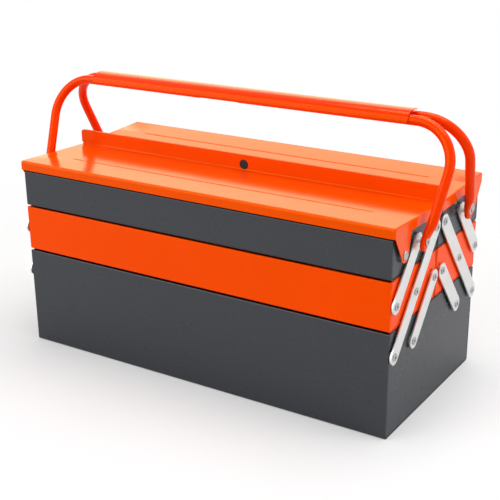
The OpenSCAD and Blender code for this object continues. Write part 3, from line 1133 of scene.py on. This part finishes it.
@dataclass
class Plug:
    """A black rubber plug in the front flange's padlock hole: painted shade for the dark seen
    through the hole.
    """

    sizes: BoxSizes
    material: Material
    rise: float = 0.4 * MM
    play: float = 0.05 * MM
    dome_shares: tuple[float, ...] = (0.96, 0.8, 0.5)

    def build(self) -> None:
        """Builds and dresses the plug, flush with the front flange's inner side."""
        s = self.sizes
        back = s.flange_gap / 2
        front, radius = back + s.sheet, s.padlock_hole / 2 - self.play
        line = [(-back, 0.0), (-back, radius), (-front, radius)]
        for share in self.dome_shares:
            line.append((-front - self.rise * math.sqrt(1 - share * share), radius * share))
        line.append((-front - self.rise, 0.0))
        turned = Turned()
        turned.add(line, (0.0, s.padlock_z), Hand.RIGHT)
        dress(turned.to_piece("padlock_plug", math.pi / 2), "front_lid", [], self.material)


@dataclass
class Arms:
    """The flat zinc-plated arms of one row."""

    row: Row
    sizes: BoxSizes
    material: Material
    round_steps: int = 16
    edge: float = 0.4 * MM

    def _outline(self, start: Place, end: Place) -> Line:
        """Draws a bar with round ends.

        Args:
            start: Its first pivot.
            end: Its last pivot.

        Returns:
            The bar's outline.
        """
        angle = math.degrees(math.atan2(end[1] - start[1], end[0] - start[0]))
        radius, n = self.sizes.arm_width / 2, self.round_steps
        first = polar(start, radius, angle + 90, angle + 270, n)
        return polar(end, radius, angle - 90, angle + 90, n) + first

    def _build_arm(self, name: str, body: str, hand: Hand, stops: Line) -> None:
        """Builds and dresses one arm.

        Args:
            name: The arm's word in its node name.
            body: The body that it rides on.
            hand: The end of the box.
            stops: Its pivots, each of which gets a hole.
        """
        s = self.sizes
        middle = (s.arm_face + s.arm_sheet / 2) * hand.value
        surface = Surface(self.row.value)
        holes = [circle(p, s.hole_radius) for p in stops]
        surface.flat(self._outline(stops[0], stops[-1]), holes, middle)
        node = f"{self.row.word}_{name}_{hand.word}"
        piece = surface.to_piece(f"{node}_strip", s.arm_sheet, self.edge)
        dress(piece, body, [node], self.material)

    def build(self) -> None:
        """Builds the row's six arms."""
        s, word = self.sizes, self.row.word
        long_stops = [s.pivot(i, tier) for i, tier in enumerate(Tier)]
        short_stops = [s.pivot(1, Tier.BASE), s.pivot(2, Tier.MIDDLE)]
        handle_stops = [s.pivot(0, Tier.MIDDLE), s.pivot(1, Tier.UPPER)]
        for hand in Hand:
            self._build_arm("long_arm", f"{word}_long_arms", hand, long_stops)
            self._build_arm("short_arm", f"{word}_short_arms", hand, short_stops)
            self._build_arm("handle_arm", f"{word}_handle", hand, handle_stops)


@dataclass
class Rivets:
    """Tubular rivets, lid pins and washers.

    The heads' shapes are pairs of shares: of the head's height, and of its or the hollow's radius.
    """

    sizes: BoxSizes
    material: Material
    inner_head: tuple[Place, ...] = ((0.0, 0.6), (0.25, 0.9), (0.6, 1.0))
    rolled_head: tuple[Place, ...] = ((0.2, 1.0), (0.45, 1.0), (0.8, 0.8), (1.0, 0.62), (0.97, 0.5))
    hollow_end: tuple[Place, ...] = ((0.75, 1.0), (-1.2, 0.9), (-1.4, 0.0))
    pin_head: tuple[Place, ...] = ((0.0, 0.85), (0.4, 1.0))
    head_roll: float = 0.25 * MM
    dome_roll: float = 0.15 * MM
    dome_rise: float = 1.6
    dome_steps: int = 7
    dome_foot: float = 0.15
    dome_share: float = 0.85

    def _profile(self, face: float) -> Line:
        """Draws a tubular rivet, from inside the tray to its rolled head.

        Args:
            face: Underside of the head.

        Returns:
            Its (X, radius) profile.
        """
        s = self.sizes
        r, hollow, head, h = s.rivet_d / 2, s.hollow_d / 2, s.head_d / 2, s.head_height
        inside = s.half_length - s.sheet
        back = inside - h
        line = [(back, 0.0)] + [(back + up * h, out * head) for up, out in self.inner_head]
        line += [(inside, head), (inside, r), (face, r), (face, head - self.head_roll)]
        line += [(face + up * h, out * head) for up, out in self.rolled_head]
        return line + [(face + up * h, out * hollow) for up, out in self.hollow_end]

    def _dome(self, face: float) -> Line:
        """Draws a lid pin with its domed head.

        Args:
            face: Underside of the head.

        Returns:
            Its (X, radius) profile.
        """
        s = self.sizes
        r, head, rise = s.rivet_d / 2, s.dome_d / 2, self.dome_rise * s.head_height
        inside = s.half_length - s.sheet
        back, inner = inside - s.head_height, s.head_d / 2
        line = [(back, 0.0)]
        line += [(back + up * s.head_height, out * inner) for up, out in self.pin_head]
        line += [(inside, inner), (inside, r), (face, r), (face, head - self.dome_roll)]
        for i in range(self.dome_steps + 1):
            angle = math.pi / 2 * i / self.dome_steps
            up = self.dome_foot * rise + self.dome_share * rise * math.sin(angle)
            line.append((face + up, head * math.cos(angle)))
        return line

    def _set(self, name: str, body: str, rivets: Iterable[tuple[Line, Place]]) -> None:
        """Builds one node's rivets at both ends of the box.

        Args:
            name: The node's name.
            body: The body that they ride on.
            rivets: Profile and place of each.
        """
        turned = Turned()
        for profile, place in rivets:
            for hand in Hand:
                turned.add(profile, place, hand)
        dress(turned.to_piece(f"{name}_set"), body, [name], self.material)

    def build(self) -> None:
        """Builds every rivet and pin, and finishes the washers."""
        s = self.sizes
        plain = self._profile(s.head_face)
        long = self._profile(s.arm_back + Handle.shoulder + Handle.end_thick + s.end_play)
        dome = self._dome(s.lid_end + s.end_play)
        base = [s.pivot(i, Tier.BASE) for i in range(2)]
        self._set("base_rivets", "base", [(plain, (a * k, z)) for a, z in base for k in (-1, 1)])
        middle = [(plain, s.pivot(i, Tier.MIDDLE)) for i in range(3)]
        upper = [(long, s.pivot(1, Tier.UPPER)), (plain, s.pivot(2, Tier.UPPER))]
        nodes = (
            ("middle_rivets", "middle_tray", middle),
            ("upper_rivets", "upper_tray", upper),
            ("lid_pins", "upper_tray", [(dome, s.lid_pivot)]),
        )
        for row in Row:
            for name, body, rivets in nodes:
                placed = [(line, (a * row.value, z)) for line, (a, z) in rivets]
                self._set(f"{row.word}_{name}", f"{row.word}_{body}", placed)
        for name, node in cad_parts.items():
            if "washers" in name:
                paint(node, self.material)


@dataclass
class Handle:
    """A bowed tube handle with pressed ends, in a plane that leans on its pivots."""

    row: Row
    sizes: BoxSizes
    material: Material
    ring: int = 28
    tip_steps: int = 8
    blend_steps: int = 16
    bend_steps: int = 22
    end_thick: float = 5.6 * MM
    end_drop: float = 9.5 * MM
    blend_top: float = 19 * MM
    shoulder: float = 3.0 * MM
    tip_width: float = 0.3 * MM
    press_square: float = 1.6
    smooth: float = 45.0
    tip_thickness: Place = (0.45, 0.55)
    leg_shares: tuple[float, ...] = (0.34, 0.67, 1.0)
    bar_shares: tuple[float, ...] = (0.25, 0.5, 0.75, 1.0)

    def _lift(self, x: float, up: float, out: float) -> Vector:
        """Turns a place in the handle's plane into one in the box's frame.

        Args:
            x: Its X.
            up: Its distance from the pivots, in the plane.
            out: Its distance out of the plane.

        Returns:
            The place.
        """
        s = self.sizes
        lean = s.handle_lean
        across, height = s.handle_pivot
        a = across - up * math.sin(lean) + out * math.cos(lean)
        return Vector((x, a * self.row.value, height + up * math.cos(lean) + out * math.sin(lean)))

    def _stations(self) -> list[Ring]:
        """Rings along the right half, from the pressed end's tip to the middle of the bar.

        Returns:
            For each ring its centre (X, up), the direction across the tube in the plane (X, up),
            and its half sizes across and out of the plane.
        """
        s = self.sizes
        rings: list[Ring] = []
        cs, sn = math.cos(s.leg_splay), math.sin(s.leg_splay)
        half_thick, half_wide, radius = self.end_thick / 2, s.press_width / 2, s.tube_d / 2
        flat_x = s.arm_back + self.shoulder + half_thick
        thin, gain = self.tip_thickness
        for i in range(self.tip_steps + 1):
            angle = math.pi / 2 * i / self.tip_steps
            low = -self.end_drop + half_wide * (1 - math.cos(angle))
            wide = max(half_wide * math.sin(angle), self.tip_width)
            thick = half_thick * min(1.0, thin + gain * math.sin(angle) ** 0.5)
            rings.append((flat_x, low, 1.0, 0.0, thick, wide))
        flat_top, top = rings[-1][1], self.blend_top
        for i in range(1, self.blend_steps + 1):
            share = i / self.blend_steps
            ease = share * share * (3 - 2 * share)
            up = flat_top + (top - flat_top) * share
            x = flat_x + (s.leg_x + up * sn - flat_x) * ease
            height = up + (up * cs - up) * ease
            thick = half_thick + (radius - half_thick) * ease
            wide = half_wide + (radius - half_wide) * ease
            rings.append((x, height, 1.0 + (cs - 1.0) * ease, -sn * ease, thick, wide))
        for share in self.leg_shares:
            reach = top + (s.leg_length - top) * share
            rings.append((s.leg_x + reach * sn, reach * cs, cs, -sn, radius, radius))
        start, bend = (s.leg_x + s.leg_length * sn, s.leg_length * cs), s.bend_radius
        centre = (start[0] - bend * cs, start[1] + bend * sn)
        for i in range(1, self.bend_steps + 1):
            turn = -s.leg_splay + s.bend_turn * i / self.bend_steps
            c, d = math.cos(turn), math.sin(turn)
            rings.append((centre[0] + bend * c, centre[1] + bend * d, c, d, radius, radius))
        for share in self.bar_shares:
            rings.append((s.bar_half * (1 - share), s.bar_height, 0.0, 1.0, radius, radius))
        return rings

    def build(self) -> None:
        """Builds and dresses the tube."""
        half = self._stations()
        mirrored = [(-x, up, -ax, au, thick, wide) for x, up, ax, au, thick, wide in half[-2::-1]]
        points: list[Vector] = []
        faces: list[list[int]] = []
        stations = half + mirrored
        for index, (x, up, ax, au, thick, wide) in enumerate(stations):
            flip = -1.0 if index >= len(half) else 1.0
            squareness = 2.0 + self.press_square * max(0.0, 1.0 - thick / (self.sizes.tube_d / 2))
            power = 2 / squareness
            for i in range(self.ring):
                angle = 2 * math.pi * i / self.ring
                c, d = math.cos(angle), math.sin(angle)
                near = math.copysign(abs(c) ** power, c) * thick * flip
                out = math.copysign(abs(d) ** power, d) * wide
                points.append(self._lift(x + ax * near, up + au * near, out))
        n = self.ring
        for k in range(len(stations) - 1):
            for i in range(n):
                j = (i + 1) % n
                faces.append([k * n + i, k * n + j, (k + 1) * n + j, (k + 1) * n + i])
        faces.append(list(range(n)))
        faces.append([(len(stations) - 1) * n + i for i in range(n)])
        word = self.row.word
        piece = add_mesh(f"{word}_handle_bow", points, faces)
        shade_smooth(piece.data, self.smooth)
        dress(piece, f"{word}_handle", [f"{word}_handle_tube"], self.material)


@dataclass
class Grip:
    """The arched sheet that wraps the front bar and hoods the back one."""

    sizes: BoxSizes
    material: Material
    power: float = 2.5
    steps: int = 28
    seat_steps: int = 18
    edge: float = 0.3 * MM
    back_inset: float = 2 * MM

    def build(self) -> None:
        """Builds and dresses the grip."""
        s, power = self.sizes, self.power
        inner_height = s.tube_d / 2 + s.grip_headroom + s.grip_skirt
        room = s.tube_d / 2 + s.grip_seat
        # The narrowest arch that clears the front and top of the front bar
        widths = []
        for step in range(self.seat_steps + 1):
            a = math.radians(90 + 90 / self.seat_steps * step)
            rise = (s.grip_skirt + room * math.sin(a)) / inner_height
            out = s.bar_offset - s.grip_shift - room * math.cos(a)
            widths.append(out / (1 - rise**power) ** (1 / power))
        wide = max(widths) + s.grip_sheet / 2
        high = inner_height + s.grip_sheet / 2
        reach = s.bar_offset - self.back_inset + s.grip_shift
        last = math.acos((reach / wide) ** (power / 2))
        foot = s.bar_z - s.grip_skirt
        line: Line = []
        for i in range(self.steps + 1):
            a = math.pi + (last - math.pi) * i / self.steps
            c = math.copysign(abs(math.cos(a)) ** (2 / power), math.cos(a))
            up = high * max(math.sin(a), 0.0) ** (2 / power)
            line.append((wide * c - s.grip_shift, foot + up))
        end = s.bar_half - s.grip_setback
        surface = Surface()
        surface.grid([[(x, a, z) for x in (-end, -end / 3, end / 3, end)] for a, z in line])
        piece = surface.to_piece("handle_grip_sheet", s.grip_sheet, self.edge)
        dress(piece, "front_handle", ["handle_grip"], self.material)


# ---- Studio


@dataclass(frozen=True)
class Softbox:
    """A square softbox that faces the box, whose light and mirror image can be turned off."""

    name: str
    place: Colour
    size: float
    watts: float
    colour: Colour = (1.0, 1.0, 1.0)
    lights: bool = True
    mirrored: bool = True
    aim: Colour = (0.0, 0.0, 0.12)

    def hang(self) -> None:
        """Hangs the softbox."""
        data = bpy.data.lights.new(self.name, "AREA")
        data.shape, data.size = "SQUARE", self.size
        data.energy, data.color = self.watts, self.colour
        lamp = add_object(self.name, data)
        turn = (Vector(self.aim) - Vector(self.place)).to_track_quat("-Z", "Y")
        lamp.matrix_world = Matrix.Translation(self.place) @ turn.to_matrix().to_4x4()
        lamp.visible_camera = False
        lamp.visible_diffuse, lamp.visible_glossy = self.lights, self.mirrored


WHITE = (1.0, 1.0, 1.0)
RIGHT_PLACE = (2.2, 0.3, 0.9)
SOFTBOXES = (
    Softbox("overhead", (0.2, 0.3, 2.2), 1.8, 34.0),
    Softbox("front", (-1.2, -2.0, 1.2), 2.2, 30.0),
    Softbox("right", RIGHT_PLACE, 1.7, 23.0, mirrored=False),
    Softbox("right_card", RIGHT_PLACE, 1.7, 8.4, lights=False),
    Softbox("warm_card", (-1.9, 2.7, 1.3), 2.6, 23.0, (1.0, 0.9, 0.26), lights=False),
)


@dataclass
class Studio:
    """White floor, soft light and the camera at the photograph's view."""

    eye: tuple[float, float, float] = (0.6115, -0.9499, 0.5403)
    heading: float = 33.71
    down: float = 21.10
    roll: float = -1.03
    focal_px: float = 1084.85
    frame_px: float = 500.0
    centre_px: Place = (229.1, 264.1)
    sensor: float = 36.0
    clip: Place = (0.05, 30.0)
    sky_level: float = 0.44
    mirrored_level: float = 0.8
    floor_reach: float = 6.0
    floor_glow: float = 0.24
    fade: Place = (0.35, 0.9)

    def build_camera(self) -> None:
        """Sets the camera that the photograph was solved for."""
        yaw, pitch, roll = (math.radians(v) for v in (self.heading, self.down, self.roll))
        level = math.cos(pitch)
        ahead = Vector((-math.sin(yaw) * level, math.cos(yaw) * level, -math.sin(pitch)))
        right = Vector((math.cos(yaw), math.sin(yaw), 0.0))
        up = right.cross(ahead)
        right_rolled = math.cos(roll) * right + math.sin(roll) * up
        up_rolled = -math.sin(roll) * right + math.cos(roll) * up
        data = bpy.data.cameras.new("camera")
        data.sensor_width = self.sensor
        data.lens = self.focal_px / self.frame_px * self.sensor
        data.shift_x = (self.frame_px / 2 - self.centre_px[0]) / self.frame_px
        data.shift_y = (self.centre_px[1] - self.frame_px / 2) / self.frame_px
        data.clip_start, data.clip_end = self.clip
        camera = add_object("camera", data)
        axes = Matrix((right_rolled, up_rolled, -ahead)).transposed()
        camera.matrix_world = Matrix.Translation(self.eye) @ axes.to_4x4()
        bpy.context.scene.camera = camera

    def build_floor(self) -> None:
        """Lays the white floor, which keeps the box's shadow and fades to white around it."""
        bench = MaterialBench("white_floor")
        where = bench.place()
        cloud = bench.noise(where, 5.0, 3.0)
        colour = bench.mix_colour(cloud, rgba((0.6, 0.6, 0.605)), rgba((0.63, 0.63, 0.63)))
        matt = bench.node("ShaderNodeBsdfPrincipled", {}, {"Base Color": colour, "Roughness": 0.9})
        glow = {"Color": rgba((1.0, 0.99, 0.985)), "Strength": self.floor_glow}
        lift = bench.node("ShaderNodeEmission", {}, glow)
        both = bench.node("ShaderNodeAddShader", {}, {0: matt, 1: lift})
        away = bench.node("ShaderNodeVectorMath", {"operation": "LENGTH"}, {0: where}, "Value")
        ramp = {"Value": away, "From Min": self.fade[0], "From Max": self.fade[1]}
        fade = bench.node("ShaderNodeMapRange", {"interpolation_type": "SMOOTHSTEP"}, ramp)
        white = bench.node("ShaderNodeEmission", {}, {"Color": rgba(WHITE), "Strength": 1.0})
        paper = bench.node("ShaderNodeMixShader", {}, {0: fade, 1: both, 2: white})
        seen = bench.node("ShaderNodeLightPath", {}, {}, "Is Camera Ray")
        mixed = bench.node("ShaderNodeMixShader", {}, {0: seen, 1: matt, 2: paper})
        mesh = bpy.data.meshes.new("floor")
        reach = self.floor_reach
        corners = [(-reach, -reach, 0), (reach, -reach, 0), (reach, reach, 0), (-reach, reach, 0)]
        mesh.from_pydata(corners, [], [(0, 1, 2, 3)])
        floor = add_object("floor", mesh)
        paint(floor, bench.finish(mixed))

    def build_light(self) -> None:
        """Hangs the softboxes and sets the pale surroundings."""
        for softbox in SOFTBOXES:
            softbox.hang()
        world = bpy.data.worlds.new("surroundings")
        bpy.context.scene.world = world
        world.use_nodes = True
        bench = NodeBench(world.node_tree)
        seen = bench.node("ShaderNodeLightPath", {}, {}, "Is Camera Ray")
        mirrored = bench.node("ShaderNodeLightPath", {}, {}, "Is Glossy Ray")
        level = seen * (1.0 - self.sky_level) + mirrored * (self.mirrored_level - self.sky_level)
        inputs = {"Color": rgba(WHITE), "Strength": level + self.sky_level}
        sky = bench.node("ShaderNodeBackground", {}, inputs)
        bench.node("ShaderNodeOutputWorld", {}, {"Surface": sky}, None)

    def build(self) -> None:
        """Builds the studio."""
        self.build_camera()
        self.build_floor()
        self.build_light()
        bpy.context.scene.view_settings.view_transform = "Standard"


def main() -> None:
    """Builds the studio and the tool box, and keeps its measured size."""
    logging.basicConfig(level=logging.INFO, format="%(name)s: %(message)s")
    Studio().build()
    # The warm sheen tint paints warm surroundings into the enamels' reflections.
    warm = (1.0, 0.75, 0.05)
    lid_orange = Enamel("lid_enamel", (0.94, 0.076, 0.0), 0.15, 1.36, warm).build()
    tray_orange = Enamel("tray_enamel", (1.0, 0.068, 0.0), 0.2, 1.26, warm).build()
    grey = Enamel("grey_enamel", (0.0305, 0.0345, 0.042), 0.28, 1.5).build()
    red_orange = Enamel("handle_enamel", (0.88, 0.027, 0.0), 0.1, 1.4, warm).build()
    arm_lean = math.atan2(SIZES.pitch, SIZES.arm_step)
    rivet_steel = ZincPlate("rivet_steel", level=0.58, roughness=0.3).build()
    Tray(Tier.BASE, None, SIZES, grey, "grey_enamel").build()
    for row in Row:
        zinc = ZincPlate(f"zinc_{row.word}", lean=-row.value * arm_lean).build()
        Tray(Tier.MIDDLE, row, SIZES, tray_orange, "orange_enamel").build()
        Tray(Tier.UPPER, row, SIZES, grey, "grey_enamel").build()
        Lid(row, SIZES, lid_orange).build()
        Arms(row, SIZES, zinc).build()
        Handle(row, SIZES, red_orange).build()
    Grip(SIZES, red_orange).build()
    # The black plug is painted shade for the dark inside the padlock hole.
    Plug(SIZES, Rubber("black_rubber").build()).build()
    Rivets(SIZES, rivet_steel).build()


if __name__ == "__main__":
    main()
